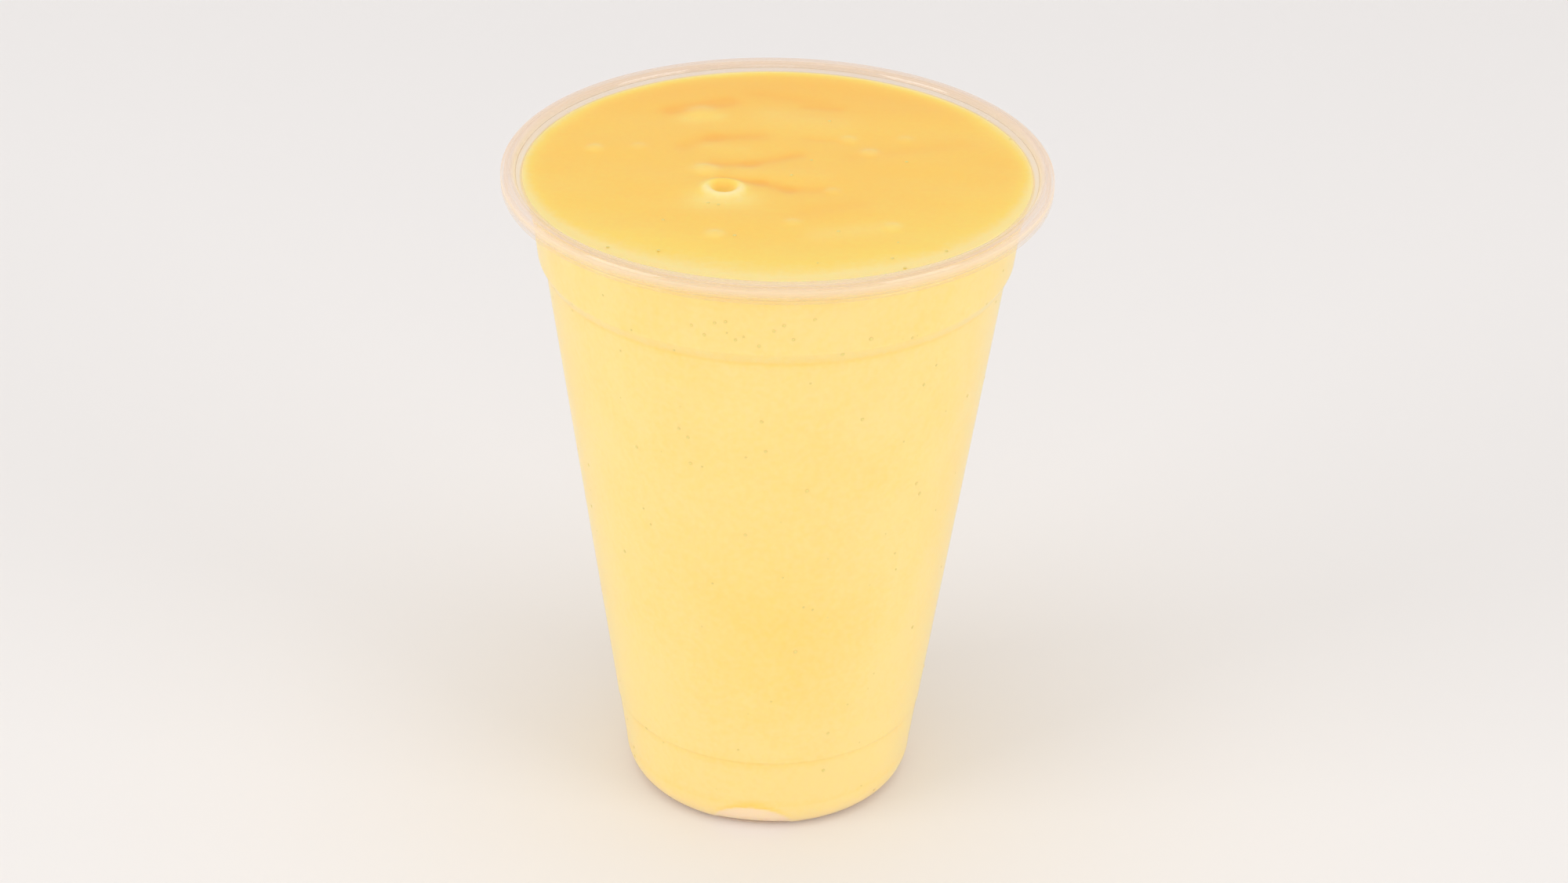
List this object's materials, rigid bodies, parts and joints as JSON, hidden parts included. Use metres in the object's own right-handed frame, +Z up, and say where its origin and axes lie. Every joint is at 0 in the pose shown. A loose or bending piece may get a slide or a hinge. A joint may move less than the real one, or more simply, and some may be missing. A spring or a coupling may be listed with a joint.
{
  "type": "mango lassi in a plastic cup",
  "caption": "Thick pale-yellow mango lassi filled to the brim of a clear tapered cold-drink cup with a rolled rim, a stacking shoulder and a rounded foot.",
  "frame": {"origin": "centre of the cup's foot, on the plane it stands on", "axes": "+Z up along the cup's axis, -Y towards the viewer of the picture, +X to the viewer's right"},
  "size_m": [0.098, 0.098, 0.1252],
  "materials": {
    "clear_plastic": "clear, glossy, thermoformed",
    "lassi": "smooth, satin, opaque"
  },
  "bodies": {
    "root": {"cup": "clear_plastic", "lassi": "lassi"}
  },
  "joints": []
}
